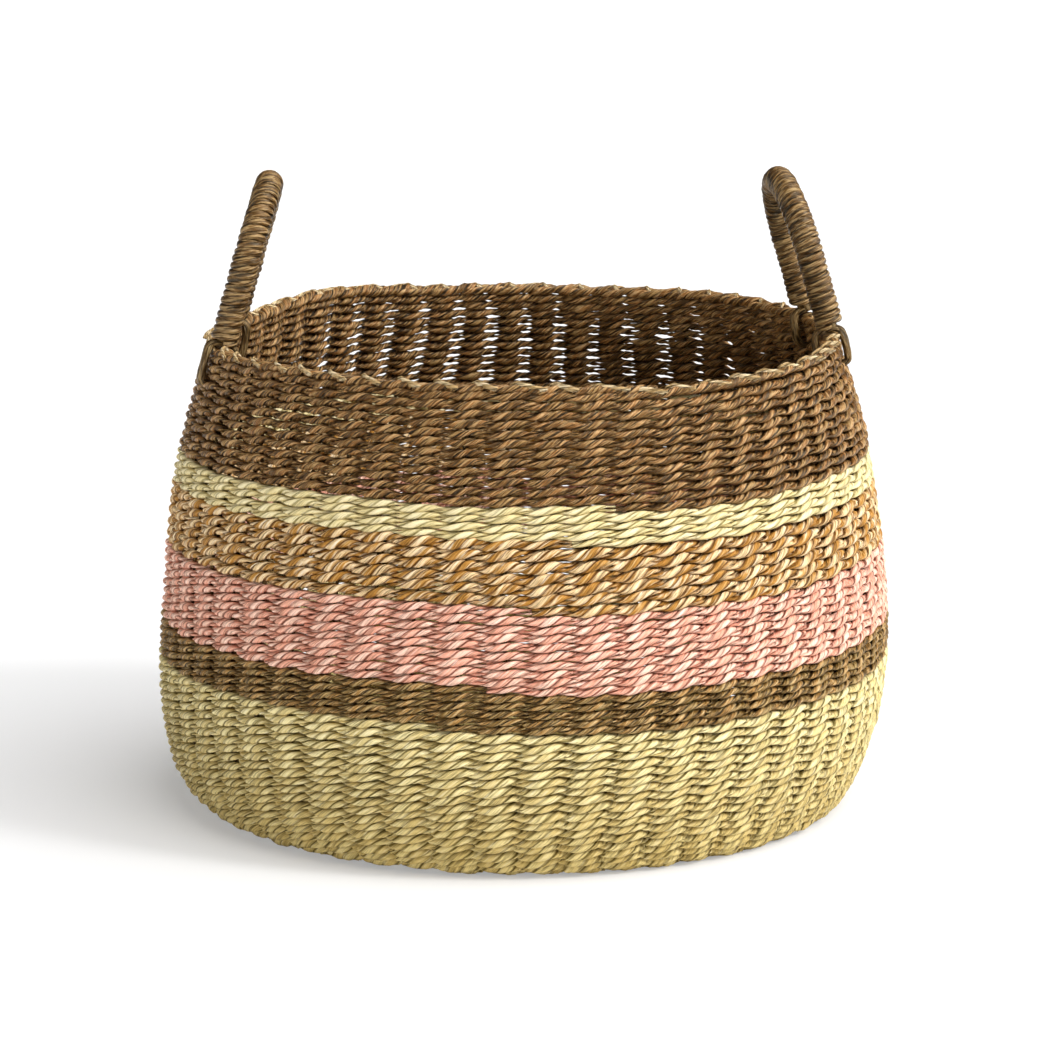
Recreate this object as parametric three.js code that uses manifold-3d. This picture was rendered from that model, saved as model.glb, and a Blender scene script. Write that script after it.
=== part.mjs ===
// A round, bellied storage basket twined from paper rope, with two wrapped hoop handles.
// Millimetres, +Z up, origin at the middle of the underside. The handles stand at -X (left) and +X
// (right), and +Y is the back.
//
// How the basket goes together: two bundles of long stakes are laid across each other in the middle
// of the base, fan out through the base and run up the wall as the uprights. Each colour is a pair of
// ropes twined round the stakes, so that one rope lies outside and the other inside. The outer and
// the inner course of each pair are two rings here, which hold the stakes between them. A border
// closes the wall. Each handle is a core of strands, whose ends pass through the wall below the
// border and come back up on its other face, with a cord wound round it from foot to foot.
import * as THREE from "three";
import { mergeVertices } from "three/addons/utils/BufferGeometryUtils.js";
import Module from "manifold-3d";

const wasm = await Module();
wasm.setup();

// Wall, on its outer face
const BASE_RADIUS = 189; // flat part of the underside
const BELLY_RADIUS = 222;
const BELLY_HEIGHT = 92;
const RIM_RADIUS = 192; // at the top of the weft
const WEFT_HEIGHT = 279;
const SHOULDER_POWER = 1.6; // the higher, the later the wall turns in above the belly
const HEEL_STEPS = 4; // straight steps round the heel
const HEEL_JOINT = 2; // steps from the base to the end of the heel's rope
const GREEN_JOINT = 3; // steps from the base to the end of the lower green rope

// Heights at which the weft changes colour above the belly
const BARK_TOP = 115;
const PINK_TOP = 160.5;
const TAN_TOP = 198;
const CREAM_TOP = 216.4;

// Ropes and cords
const BUNDLE_STAKES = 13; // in each of the two crossed bundles
const STAKE_DIAMETER = 4;
const STAKE_SIDES = 4;
const COURSE_THICKNESS = 4.4; // one rope of a pair, pressed against the stakes
const CROSS_RUN = 6; // outside the crossing, over which the upper bundle comes down
const CLEARANCE = 0.3; // between pieces that touch

// Border
const BORDER_HEIGHT = 5.4;
const BORDER_BULGE = 0.4; // past each face of the wall
const BORDER_CHAMFER = 1.6;
const KNUCKLE_HEIGHT = 0.9; // of the folded stake ends over the stretches between them

// Handle cores
const LEG_PITCHES = 2; // from a handle's middle to each leg, counted in gaps between stakes
const HANDLE_HEIGHT = 92; // from the border to the core's centre line at the crown
const LEFT_LEAN = 16; // in degrees, over the basket
const RIGHT_LEAN = 20;
const RIGHT_SHIFT = 1; // gaps between stakes by which the right handle is set to the back
const CORE_SIDES = 6;
const CROWN_STEPS = 14;
const STRANDS = 3;
const STRAND_DIAMETER = 3.2;
const STRAND_PITCH = 2.7; // less than the diameter, as the strands press into each other
const STRAND_SIDES = 6;
const SLOT_DEPTH = 10; // from the top of the weft down to the middle of the strands
const SLOT_CLEARANCE = 0.6;

// Cord wound round the handles, laid double, so that each turn is a flat band
const WRAP_WIDTH = 6.8;
const WRAP_THICKNESS = 2.8;
const WRAP_STEPS = 8; // in a turn
const WRAP_LIFT = 0.8; // over the core, so that the flats between two steps clear it
const WRAP_GAP = 0.9; // between turns at the inside of the crown, where they crowd
const TAIL_WIDTH = 3.3; // at each end only one of the two cords is left
const BEND_RADIUS = 2.4; // where the tail turns into the first turn
const BEND_STEPS = 3;

const COLOURS = {
  heel: 0xc2b871,
  lower_green: 0xc2b871,
  green: 0xc2b871,
  bark: 0x6d5330,
  pink: 0xdd9e8c,
  tan: 0xc79a5a,
  cream: 0xdcd797,
  brown: 0x80643c,
  stake: 0x8a7448,
  core: 0x6f5a34,
  wrap: 0x87683a,
};

const STAKE_COUNT = 4 * BUNDLE_STAKES;
const PITCH_ANGLE = (2 * Math.PI) / STAKE_COUNT;
const INNER_DEPTH = COURSE_THICKNESS + 2 * CLEARANCE + STAKE_DIAMETER;
const WALL_THICKNESS = INNER_DEPTH + COURSE_THICKNESS;
const CORE_DIAMETER = (STRANDS - 1) * STRAND_PITCH + STRAND_DIAMETER;

const HANDLES = [
  { side: "left", azimuth: Math.PI, lean: LEFT_LEAN },
  { side: "right", azimuth: RIGHT_SHIFT * PITCH_ANGLE, lean: RIGHT_LEAN },
];
const ALONG = new THREE.Vector3(0, 1, 0);

const basket = new THREE.Group();

function add(name, geometry, colour) {
  const material = new THREE.MeshStandardMaterial({
    color: colour,
    roughness: 0.85,
    metalness: 0,
    flatShading: true,
  });
  const mesh = new THREE.Mesh(geometry, material);
  mesh.name = name;
  basket.add(mesh);
}

// The outer face from the middle of the underside to the top of the weft, as (radius, height) points.
// The heel is a quarter of an ellipse and the shoulder a power curve.

function shoulderRadius(height) {
  const share = (height - BELLY_HEIGHT) / (WEFT_HEIGHT - BELLY_HEIGHT);
  return BELLY_RADIUS - (BELLY_RADIUS - RIM_RADIUS) * share ** SHOULDER_POWER;
}

function outerFace() {
  const points = [new THREE.Vector2(0, 0)];
  for (let i = 0; i <= HEEL_STEPS; i++) {
    const angle = (Math.PI / 2) * (i / HEEL_STEPS);
    const radius = BASE_RADIUS + (BELLY_RADIUS - BASE_RADIUS) * Math.sin(angle);
    points.push(new THREE.Vector2(radius, BELLY_HEIGHT * (1 - Math.cos(angle))));
  }
  for (const height of [BARK_TOP, PINK_TOP, TAN_TOP, CREAM_TOP, WEFT_HEIGHT])
    points.push(new THREE.Vector2(shoulderRadius(height), height));
  return points;
}

const OUTER_FACE = outerFace();
const EDGE = 1;
const BELLY = EDGE + HEEL_STEPS;
const TOP = OUTER_FACE.length - 1;

// A line of (radius, height) points moved inwards by a depth, with mitred corners.
function inwards(line, depth) {
  return line.map((point, i) => {
    const last = i === line.length - 1;
    const after = last ? null : line[i + 1].clone().sub(point).normalize();
    const before = i === 0 ? after : point.clone().sub(line[i - 1]).normalize();
    const way = before.clone().add(last ? before : after).normalize();
    const normal = new THREE.Vector2(-way.y, way.x);
    return point.clone().addScaledVector(normal, depth / way.dot(before));
  });
}

// The stretch of a line between two of its points, drawn back at each end to leave the clearance.
function stretch(line, from, to) {
  const part = line.slice(from, to + 1).map((point) => point.clone());
  const first = part[1].clone().sub(part[0]).normalize();
  const last = part.at(-1).clone().sub(part.at(-2)).normalize();
  if (part[0].x > 0) part[0].addScaledVector(first, CLEARANCE / 2);
  part.at(-1).addScaledVector(last, -CLEARANCE / 2);
  return part;
}

// Turned about Z, with a corner at each stake. The outline runs up the outer side and down the inner.
function revolve(outline) {
  const closed = outline[0].x > 0 ? [...outline, outline[0]] : outline;
  const geometry = new THREE.LatheGeometry(closed, STAKE_COUNT, PITCH_ANGLE / 2);
  return geometry.rotateX(Math.PI / 2);
}

function course(from, to, depth) {
  const outside = stretch(inwards(OUTER_FACE, depth), from, to);
  const inside = stretch(inwards(OUTER_FACE, depth + COURSE_THICKNESS), from, to);
  return revolve([...outside, ...inside.reverse()]);
}

// A solid skinned over rows of points, each row one convex outline. A ring of rows has no ends.
function skin(rows, ring = false) {
  const count = rows[0].length;
  const index = [];
  for (let i = 0; i < (ring ? rows.length : rows.length - 1); i++)
    for (let j = 0; j < count; j++) {
      const next = (i + 1) % rows.length;
      const k = (j + 1) % count;
      index.push(i * count + j, i * count + k, next * count + k);
      index.push(i * count + j, next * count + k, next * count + j);
    }
  const end = (rows.length - 1) * count;
  for (let j = 1; !ring && j + 1 < count; j++) {
    index.push(0, j + 1, j);
    index.push(end, end + j, end + j + 1);
  }
  const geometry = new THREE.BufferGeometry().setFromPoints(rows.flat());
  return geometry.setIndex(index);
}

// A row of a round section, in the plane of two directions.
function roundRow(centre, across, out, diameter, sides, turn = 0) {
  return Array.from({ length: sides }, (_, i) => {
    const angle = (2 * Math.PI * (i + turn)) / sides;
    return centre
      .clone()
      .addScaledVector(out, (diameter / 2) * Math.cos(angle))
      .addScaledVector(across, (diameter / 2) * Math.sin(angle));
  });
}

function asManifold(geometry) {
  const bare = new THREE.BufferGeometry();
  bare.setAttribute("position", geometry.getAttribute("position"));
  bare.setIndex(geometry.index);
  const merged = mergeVertices(bare, 1e-3);
  const mesh = new wasm.Mesh({
    numProp: 3,
    vertProperties: merged.attributes.position.array,
    triVerts: new Uint32Array(merged.index.array),
  });
  return new wasm.Manifold(mesh);
}

function asGeometry(solid) {
  const mesh = solid.getMesh();
  const geometry = new THREE.BufferGeometry();
  geometry.setAttribute("position", new THREE.BufferAttribute(mesh.vertProperties, 3));
  return geometry.setIndex(new THREE.BufferAttribute(mesh.triVerts, 1));
}

// Stakes: each runs down one side of the wall, across the base and up the other side

const STAKE_LINE = inwards(OUTER_FACE, WALL_THICKNESS / 2);
const STAKE_LEVEL = STAKE_LINE[0].y; // in the base
const CROSS_PITCH = STAKE_DIAMETER + CLEARANCE;
const CROSS_EDGE = (BUNDLE_STAKES * CROSS_PITCH) / 2 + CLEARANCE;
const CROSS_CORNER = CROSS_EDGE * Math.SQRT2 + STAKE_DIAMETER / 2;
const FAN_RADIUS = CROSS_CORNER + CROSS_RUN;

function stakePoints(place, lift) {
  const azimuth = place * PITCH_ANGLE;
  const fan = new THREE.Vector2(FAN_RADIUS, STAKE_LEVEL);
  const side = [...STAKE_LINE.slice(EDGE).reverse(), fan].map(
    (p) => new THREE.Vector3(p.x * Math.cos(azimuth), p.x * Math.sin(azimuth), p.y),
  );
  side.push(new THREE.Vector3(CROSS_EDGE, place * CROSS_PITCH, STAKE_LEVEL + lift));
  const other = side.map((p) => new THREE.Vector3(-p.x, p.y, p.z));
  return [...side, ...other.reverse()];
}

function stake(place, lift) {
  const points = stakePoints(place, lift);
  let out = new THREE.Vector3(points[0].x, points[0].y, 0);
  const rows = points.map((point, i) => {
    const before = point.clone().sub(points[Math.max(i - 1, 0)]).normalize();
    const after = points[Math.min(i + 1, points.length - 1)].clone().sub(point).normalize();
    const way = before.add(after).normalize();
    out = out.clone().addScaledVector(way, -out.dot(way)).normalize();
    return roundRow(point, way.clone().cross(out), out, STAKE_DIAMETER, STAKE_SIDES);
  });
  return skin(rows);
}

// An odd bundle has a stake in its middle, and is turned so that a gap faces each handle.
const CROSS_TURN = ((BUNDLE_STAKES % 2) * PITCH_ANGLE) / 2;
const BUNDLES = [
  { name: "lower_stake", turn: CROSS_TURN, lift: 0 },
  { name: "upper_stake", turn: CROSS_TURN + Math.PI / 2, lift: CROSS_PITCH },
];
for (const { name, turn, lift } of BUNDLES)
  for (let i = 0; i < BUNDLE_STAKES; i++) {
    const geometry = stake(i - (BUNDLE_STAKES - 1) / 2, lift).rotateZ(turn);
    add(`${name}_${String(i + 1).padStart(2, "0")}`, geometry, COLOURS.stake);
  }

// Base: a flat course under the stakes, and one over them that rises in the middle, over the crossing

function upperBase() {
  const face = (depth) => {
    const line = stretch(inwards(OUTER_FACE, depth), 0, EDGE);
    const level = line[0].y;
    return [
      new THREE.Vector2(0, level + CROSS_PITCH),
      new THREE.Vector2(CROSS_CORNER, level + CROSS_PITCH),
      new THREE.Vector2(FAN_RADIUS + STAKE_DIAMETER, level),
      line[1],
    ];
  };
  return revolve([...face(INNER_DEPTH), ...face(WALL_THICKNESS).reverse()]);
}

add("base_weft_under", course(0, EDGE, 0), COLOURS.green);
add("base_weft_over", upperBase(), COLOURS.green);

// Wall: the outer and the inner course of each rope. The heel and both green ropes are of one colour.

const BANDS = [
  { name: "heel", from: EDGE, to: EDGE + HEEL_JOINT },
  { name: "lower_green", from: EDGE + HEEL_JOINT, to: EDGE + GREEN_JOINT },
  { name: "green", from: EDGE + GREEN_JOINT, to: BELLY },
  { name: "bark", from: BELLY, to: BELLY + 1 },
  { name: "pink", from: BELLY + 1, to: BELLY + 2 },
  { name: "tan", from: BELLY + 2, to: BELLY + 3 },
  { name: "cream", from: BELLY + 3, to: BELLY + 4 },
];
for (const { name, from, to } of BANDS) {
  add(`${name}_weft_outer`, course(from, to, 0), COLOURS[name]);
  add(`${name}_weft_inner`, course(from, to, INNER_DEPTH), COLOURS[name]);
}

// Places at the rim are given in a frame of their own: x out of the wall, y along it and z up it,
// from the middle of the weft's top.

const RIM_UP = OUTER_FACE[TOP].clone().sub(OUTER_FACE[TOP - 1]).normalize();

function rimFrame(azimuth) {
  const up = new THREE.Vector3(RIM_UP.x, 0, RIM_UP.y);
  const frame = new THREE.Matrix4().makeBasis(ALONG.clone().cross(up), ALONG, up);
  frame.setPosition(STAKE_LINE[TOP].x, 0, STAKE_LINE[TOP].y);
  return frame.premultiply(new THREE.Matrix4().makeRotationZ(azimuth));
}

// Brown weft: both courses are pierced where the strands of the handles pass through

const LEG_ANGLE = LEG_PITCHES * PITCH_ANGLE;

function pierced(geometry) {
  let solid = asManifold(geometry);
  for (const { azimuth } of HANDLES)
    for (const leg of [-LEG_ANGLE, LEG_ANGLE]) {
      const slot = new THREE.BoxGeometry(
        2 * WALL_THICKNESS,
        CORE_DIAMETER + 2 * SLOT_CLEARANCE,
        STRAND_DIAMETER + 2 * SLOT_CLEARANCE,
      );
      slot.translate(0, 0, -SLOT_DEPTH).applyMatrix4(rimFrame(azimuth + leg));
      solid = solid.subtract(asManifold(slot));
    }
  return asGeometry(solid);
}

add("brown_weft_outer", pierced(course(TOP - 1, TOP, 0)), COLOURS.brown);
add("brown_weft_inner", pierced(course(TOP - 1, TOP, INNER_DEPTH)), COLOURS.brown);

// Border: the last row, with a knuckle over each stake where its end is folded down

const BORDER_REACH = WALL_THICKNESS / 2 + BORDER_BULGE;

function borderRow(azimuth, top) {
  const shoulder = top - BORDER_CHAMFER;
  const section = [
    [-BORDER_REACH, CLEARANCE],
    [-BORDER_REACH, shoulder],
    [BORDER_CHAMFER - BORDER_REACH, top],
    [BORDER_REACH - BORDER_CHAMFER, top],
    [BORDER_REACH, shoulder],
    [BORDER_REACH, CLEARANCE],
  ];
  return section.map(([x, z]) => new THREE.Vector3(x, 0, z).applyMatrix4(rimFrame(azimuth)));
}

const borderRows = [];
for (let i = 0; i < STAKE_COUNT; i++) {
  const top = CLEARANCE + BORDER_HEIGHT;
  borderRows.push(borderRow(i * PITCH_ANGLE, top - KNUCKLE_HEIGHT));
  borderRows.push(borderRow((i + 0.5) * PITCH_ANGLE, top));
}
add("border", skin(borderRows, true), COLOURS.brown);

// Handles are worked out at azimuth 0 and then turned to their places. The hoop is two straight legs
// and half a circle, in a plane that leans over the basket.

const STRAND_TOP = CLEARANCE + BORDER_HEIGHT + CLEARANCE + STRAND_DIAMETER / 2;
const HOOP_FOOT = new THREE.Vector3(0, 0, STRAND_TOP).applyMatrix4(rimFrame(LEG_ANGLE));
const CROWN_RADIUS = HOOP_FOOT.y;
const LEG_LENGTH = HANDLE_HEIGHT - CROWN_RADIUS;
const CROWN_LENGTH = Math.PI * CROWN_RADIUS;
const HOOP_LENGTH = 2 * LEG_LENGTH + CROWN_LENGTH;

// A point round the hoop's centre line. Its angle starts on the side away from the hoop's middle.
function roundHoop(lean, distance, radius, angle) {
  const tilt = THREE.MathUtils.degToRad(lean);
  const up = new THREE.Vector3(-Math.sin(tilt), 0, Math.cos(tilt));
  const turn = THREE.MathUtils.clamp((distance - LEG_LENGTH) / CROWN_RADIUS, 0, Math.PI);
  const height = Math.min(distance, LEG_LENGTH, HOOP_LENGTH - distance);
  const out = up.clone().multiplyScalar(Math.sin(turn)).addScaledVector(ALONG, -Math.cos(turn));
  return new THREE.Vector3(HOOP_FOOT.x, 0, HOOP_FOOT.z)
    .addScaledVector(up, height)
    .addScaledVector(out, CROWN_RADIUS + radius * Math.cos(angle))
    .addScaledVector(ALONG.clone().cross(up), radius * Math.sin(angle));
}

// Core: the strands are bound to one round bundle in the hoop, and part at each foot into a loop
// through the wall and over the border

function hoopCore(lean) {
  const distances = [0];
  for (let i = 0; i <= CROWN_STEPS; i++)
    distances.push(LEG_LENGTH + (CROWN_LENGTH * i) / CROWN_STEPS);
  distances.push(HOOP_LENGTH);
  const rows = distances.map((distance) =>
    Array.from({ length: CORE_SIDES }, (_, j) =>
      roundHoop(lean, distance, CORE_DIAMETER / 2, (2 * Math.PI * j) / CORE_SIDES),
    ),
  );
  return skin(rows);
}

function strandLoop(offset) {
  const reach = BORDER_REACH + CLEARANCE + STRAND_DIAMETER / 2;
  const corner = STRAND_DIAMETER / 2;
  const path = [
    [reach - corner, -SLOT_DEPTH],
    [reach, corner - SLOT_DEPTH],
    [reach, STRAND_TOP - corner],
    [reach - corner, STRAND_TOP],
    [corner - reach, STRAND_TOP],
    [-reach, STRAND_TOP - corner],
    [-reach, corner - SLOT_DEPTH],
    [corner - reach, -SLOT_DEPTH],
  ].map(([x, z]) => new THREE.Vector3(x, offset, z));
  const rows = path.map((point, i) => {
    const before = point.clone().sub(path.at(i - 1)).normalize();
    const after = path[(i + 1) % path.length].clone().sub(point).normalize();
    const way = before.add(after).normalize();
    return roundRow(point, ALONG, ALONG.clone().cross(way), STRAND_DIAMETER, STRAND_SIDES, 0.5);
  });
  return skin(rows, true);
}

function handleCore(lean) {
  let solid = asManifold(hoopCore(lean));
  for (const leg of [-LEG_ANGLE, LEG_ANGLE])
    for (let i = 0; i < STRANDS; i++) {
      const offset = (i - (STRANDS - 1) / 2) * STRAND_PITCH;
      solid = solid.add(asManifold(strandLoop(offset).applyMatrix4(rimFrame(leg))));
    }
  return asGeometry(solid);
}

// Wrap: one band wound from foot to foot. At each end one of its two cords stops, and the other bends
// down the outside of the leg and runs straight on to the border.

const WRAP_RADIUS = CORE_DIAMETER / 2 + WRAP_LIFT + WRAP_THICKNESS / 2;

// How far from the foot a tail ends, so that its lowest corner clears the sloping border.
function tailStart(lean) {
  const toRim = rimFrame(-LEG_ANGLE).invert();
  const corners = [-1, 1].map((hand) => (hand * TAIL_WIDTH) / 2 / WRAP_RADIUS);
  const heights = corners.map((angle) => {
    const corner = roundHoop(lean, 0, WRAP_RADIUS + WRAP_THICKNESS / 2, angle);
    return corner.applyMatrix4(toRim).z;
  });
  return 2 * CLEARANCE + BORDER_HEIGHT - Math.min(...heights);
}

function wrapPath(lean) {
  const start = tailStart(lean);
  const straight = start + TAIL_WIDTH;
  const wrapped = HOOP_LENGTH - 2 * straight;
  const crowding = 1 - (WRAP_RADIUS + WRAP_THICKNESS / 2) / CROWN_RADIUS;
  const turns = Math.floor((wrapped * crowding) / (WRAP_WIDTH + WRAP_GAP));
  const slope = Math.atan(wrapped / turns / (2 * Math.PI * WRAP_RADIUS));
  const end = [
    { distance: start, angle: 0 },
    { distance: straight, angle: 0 },
  ];
  for (let i = 1; i <= BEND_STEPS; i++) {
    const way = Math.PI / 2 - ((Math.PI / 2 - slope) * i) / BEND_STEPS;
    const rise = BEND_RADIUS * Math.cos(way);
    const sweep = (BEND_RADIUS * (1 - Math.sin(way))) / WRAP_RADIUS;
    end.push({ distance: straight + rise, angle: sweep });
  }
  const last = 2 * Math.PI * turns;
  const from = end.at(-1);
  const helixAngle = last - 2 * from.angle;
  const steps = Math.round((WRAP_STEPS * helixAngle) / (2 * Math.PI));
  const helix = [];
  for (let i = 1; i < steps; i++)
    helix.push({
      distance: from.distance + ((HOOP_LENGTH - 2 * from.distance) * i) / steps,
      angle: from.angle + (helixAngle * i) / steps,
    });
  const otherEnd = end.map(({ distance, angle }) => ({
    distance: HOOP_LENGTH - distance,
    angle: last - angle,
  }));
  const path = [...end, ...helix, ...otherEnd.reverse()];
  for (const step of path) {
    const fromEnd = Math.min(step.angle, last - step.angle) - from.angle;
    const share = THREE.MathUtils.clamp(fromEnd / (Math.PI / 2), 0, 1);
    step.width = THREE.MathUtils.lerp(TAIL_WIDTH, WRAP_WIDTH, share);
  }
  return path;
}

function wrapRows(lean) {
  const path = wrapPath(lean);
  const points = path.map((step) => roundHoop(lean, step.distance, WRAP_RADIUS, step.angle));
  return path.map(({ distance, angle, width }, i) => {
    const before = points[i].clone().sub(points[Math.max(i - 1, 0)]).normalize();
    const after = points[Math.min(i + 1, points.length - 1)].clone().sub(points[i]).normalize();
    const way = before.add(after).normalize();
    const out = points[i].clone().sub(roundHoop(lean, distance, 0, angle)).normalize();
    const across = out.clone().cross(way).normalize();
    return [
      [-width / 2, WRAP_THICKNESS / 2],
      [-width / 2, -WRAP_THICKNESS / 2],
      [width / 2, -WRAP_THICKNESS / 2],
      [width / 2, WRAP_THICKNESS / 2],
    ].map(([x, y]) => points[i].clone().addScaledVector(across, x).addScaledVector(out, y));
  });
}

// The least distance from a corner of the band to an edge of it that lies over half a turn away.
function leastGap(rows) {
  let least = Infinity;
  const near = new THREE.Vector3();
  for (let i = 0; i < rows.length; i++)
    for (let j = i + Math.ceil(WRAP_STEPS / 2); j + 1 < rows.length; j++)
      for (let k = 0; k < rows[j].length; k++) {
        const edge = new THREE.Line3(rows[j][k], rows[j + 1][k]);
        for (const corner of rows[i])
          least = Math.min(least, edge.closestPointToPoint(corner, true, near).distanceTo(corner));
      }
  return least;
}

for (const { side, azimuth, lean } of HANDLES) {
  const rows = wrapRows(lean);
  console.log(`${side} handle wrap: least gap between turns ${leastGap(rows).toFixed(2)} mm`);
  add(`${side}_handle_core`, handleCore(lean).rotateZ(azimuth), COLOURS.core);
  add(`${side}_handle_wrap`, skin(rows).rotateZ(azimuth), COLOURS.wrap);
}

export default basket;
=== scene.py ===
import bpy
import numpy as np
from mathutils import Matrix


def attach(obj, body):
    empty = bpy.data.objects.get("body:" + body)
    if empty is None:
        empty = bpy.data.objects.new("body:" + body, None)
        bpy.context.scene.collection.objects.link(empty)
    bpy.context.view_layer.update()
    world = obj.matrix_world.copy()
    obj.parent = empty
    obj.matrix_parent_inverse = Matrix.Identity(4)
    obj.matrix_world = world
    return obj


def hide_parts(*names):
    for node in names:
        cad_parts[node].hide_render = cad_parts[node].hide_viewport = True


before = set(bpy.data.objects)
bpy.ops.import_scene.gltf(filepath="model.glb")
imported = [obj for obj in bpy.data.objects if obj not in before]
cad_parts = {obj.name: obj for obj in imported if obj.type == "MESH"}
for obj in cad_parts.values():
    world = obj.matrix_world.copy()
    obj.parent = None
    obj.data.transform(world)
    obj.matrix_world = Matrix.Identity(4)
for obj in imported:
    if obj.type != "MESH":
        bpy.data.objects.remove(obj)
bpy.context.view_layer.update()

# Camera and light
# A long lens from the front and a little above. A wide soft light and a small one stand on the
# right, and a weak one low in front on the left. The floor and the far background are plain white,
# and the floor keeps a pale shadow on the left.

CAMERA_DISTANCE = 2.532
CAMERA_HEIGHT = 0.698
CAMERA_DOWN = 0.2074  # radians below level
LENS = 146.1
SENSOR_WIDTH = 36
WHITE = (1, 1, 1, 1)
ROOM_LIGHT = 0.08  # from all round
FLOOR_CORNERS = [(-12, -6, 0), (12, -6, 0), (12, 18, 0), (-12, 18, 0)]
FLOOR_COLOUR = (0.86, 0.86, 0.86, 1)
SHADOW_FADE = 0.34  # the share of plain white that the camera sees over the lit floor

camera = bpy.data.objects.new("camera", bpy.data.cameras.new("camera"))
camera.data.lens = LENS
camera.data.sensor_width = SENSOR_WIDTH
camera.location = (0, -CAMERA_DISTANCE, CAMERA_HEIGHT)
camera.rotation_euler = (np.pi / 2 - CAMERA_DOWN, 0, 0)
bpy.context.collection.objects.link(camera)
bpy.context.scene.camera = camera
bpy.context.scene.view_settings.view_transform = "Standard"

# In degrees: a light's tilt from overhead, its turn round the basket and how wide and soft it is.
for name, tilt, turn, strength, softness in (
    ("wide_light", 39, 68, 4.4, 85),
    ("small_light", 52, 66, 1.4, 12),
    ("front_light", 86, -38, 1.1, 8),
):
    lamp = bpy.data.objects.new(name, bpy.data.lights.new(name, "SUN"))
    lamp.data.energy = strength
    lamp.data.angle = np.radians(softness)
    lamp.rotation_euler = (np.radians(tilt), 0, np.radians(turn))
    bpy.context.collection.objects.link(lamp)


def node(tree, kind, inputs=None, **settings):
    """Adds a shader node, sets it up and fills its inputs, each with a value or a node's output."""
    made = tree.nodes.new("ShaderNode" + kind)
    for setting, value in settings.items():
        setattr(made, setting, value)
    for key, value in (inputs or {}).items():
        if isinstance(value, bpy.types.NodeSocket):
            tree.links.new(value, made.inputs[key])
        else:
            made.inputs[key].default_value = value
    return made


world = bpy.data.worlds.new("white_room")
bpy.context.scene.world = world
world.use_nodes = True
tree = world.node_tree
tree.nodes.clear()
to_camera = node(tree, "LightPath").outputs["Is Camera Ray"]
ambient = node(tree, "Background", {"Color": WHITE, "Strength": ROOM_LIGHT}).outputs[0]
seen = node(tree, "Background", {"Color": WHITE, "Strength": 1}).outputs[0]
both = node(tree, "MixShader", {0: to_camera, 1: ambient, 2: seen}).outputs[0]
node(tree, "OutputWorld", {"Surface": both})

floor_mesh = bpy.data.meshes.new("floor")
floor_mesh.from_pydata(FLOOR_CORNERS, [], [(0, 1, 2, 3)])
floor = bpy.data.objects.new("floor", floor_mesh)
bpy.context.collection.objects.link(floor)
white_floor = bpy.data.materials.new("white_floor")
white_floor.use_nodes = True
tree = white_floor.node_tree
tree.nodes.clear()
to_camera = node(tree, "LightPath").outputs["Is Camera Ray"]
faded = node(tree, "Math", {0: to_camera, 1: SHADOW_FADE}, operation="MULTIPLY").outputs[0]
lit = node(tree, "BsdfDiffuse", {"Color": FLOOR_COLOUR}).outputs[0]
plain = node(tree, "Emission", {"Color": WHITE, "Strength": 1}).outputs[0]
both = node(tree, "MixShader", {0: faded, 1: lit, 2: plain}).outputs[0]
node(tree, "OutputMaterial", {"Surface": both})
floor_mesh.materials.append(white_floor)

# Stakes
# 26 long paper cords, 13 woven over and under 13 in the middle of the base. From there they fan
# out, bend up at the heel and run to the rim as 52 uprights, which the ropes are twined round.

BASE_RADIUS = 0.189  # where the flat underside ends
BELLY_RADIUS = 0.222
BELLY_HEIGHT = 0.092
RIM_RADIUS = 0.192
WEFT_HEIGHT = 0.279
SHOULDER_POWER = 1.6
WALL_THICKNESS = 0.0134
SPARE_WALL = 0.02  # over the weft, for the border
PROFILE_POINTS = 200  # on the flat, and on the heel
SHOULDER_POINTS = 300
STAKES = 52
STAKE_GAP = 2 * np.pi / STAKES
BUNDLE = STAKES // 4  # cords that lie side by side in the base


def side_line():
    """The wall's middle line from the centre of the base up to the rim: length along it, radius,
    height, the two parts of the way out, and the height of the outer face.

    The outer face is flat, then a quarter of an ellipse round the heel, then draws in with a power
    of the height above the belly. The middle line lies half the wall's thickness inside it."""
    flat = np.linspace(0, BASE_RADIUS, PROFILE_POINTS)[:-1]
    heel = np.linspace(0, np.pi / 2, PROFILE_POINTS)[:-1]
    height = np.linspace(BELLY_HEIGHT, WEFT_HEIGHT + SPARE_WALL, SHOULDER_POINTS)
    share = (height - BELLY_HEIGHT) / (WEFT_HEIGHT - BELLY_HEIGHT)
    radius = np.concatenate([
        flat,
        BASE_RADIUS + (BELLY_RADIUS - BASE_RADIUS) * np.sin(heel),
        BELLY_RADIUS - (BELLY_RADIUS - RIM_RADIUS) * share**SHOULDER_POWER,
    ])
    level = np.concatenate([0 * flat, BELLY_HEIGHT * (1 - np.cos(heel)), height])
    along_r, along_z = np.gradient(radius), np.gradient(level)
    size = np.hypot(along_r, along_z)
    out_r, out_z = along_z / size, -along_r / size
    mid_r = radius - out_r * WALL_THICKNESS / 2
    mid_z = level - out_z * WALL_THICKNESS / 2
    length = np.concatenate([[0], np.cumsum(np.hypot(np.diff(mid_r), np.diff(mid_z)))])
    return length, mid_r, mid_z, out_r, out_z, level


LENGTH, MIDDLE_RADIUS, MIDDLE_HEIGHT, OUT_RADIAL, OUT_UP, FACE_HEIGHT = side_line()


def up_at(height):
    """The length along the middle line at a height of the outer face, from the heel up."""
    return float(np.interp(height, FACE_HEIGHT[PROFILE_POINTS:], LENGTH[PROFILE_POINTS:]))


WEFT_TOP = up_at(WEFT_HEIGHT)

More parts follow.
